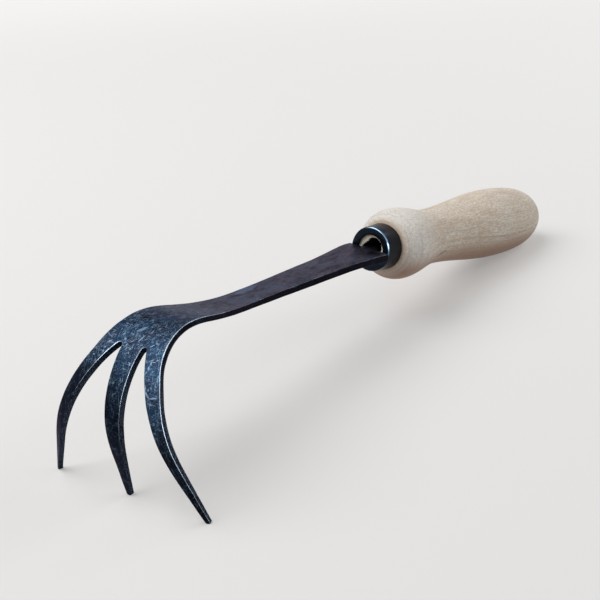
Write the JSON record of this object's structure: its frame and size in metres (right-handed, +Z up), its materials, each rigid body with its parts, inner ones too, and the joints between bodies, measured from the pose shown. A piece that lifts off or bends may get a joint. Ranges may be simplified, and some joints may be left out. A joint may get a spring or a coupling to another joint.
{
  "type": "garden cultivator",
  "caption": "Hand cultivator: a forged flat bar swells into a palm split into tapering hooked tines, set through a ferrule into a turned ash handle.",
  "frame": {"origin": "centre of the bounding box's base, on the floor that the tool lies on", "axes": "+X along the tool from the tines to the handle's rounded end, +Z up, and the XZ plane runs down the middle of the handle and the head"},
  "size_m": [0.3142, 0.0748, 0.0569],
  "materials": {
    "forged_steel": "forged carbon steel with dark blue-grey scale, worn bright on the edges",
    "blued_steel": "glossy blue-black",
    "ash_wood": "turned and sanded ash, bare satin"
  },
  "bodies": {
    "root": {"forged_head": "forged_steel", "ferrule": "blued_steel", "handle": "ash_wood"}
  },
  "joints": []
}
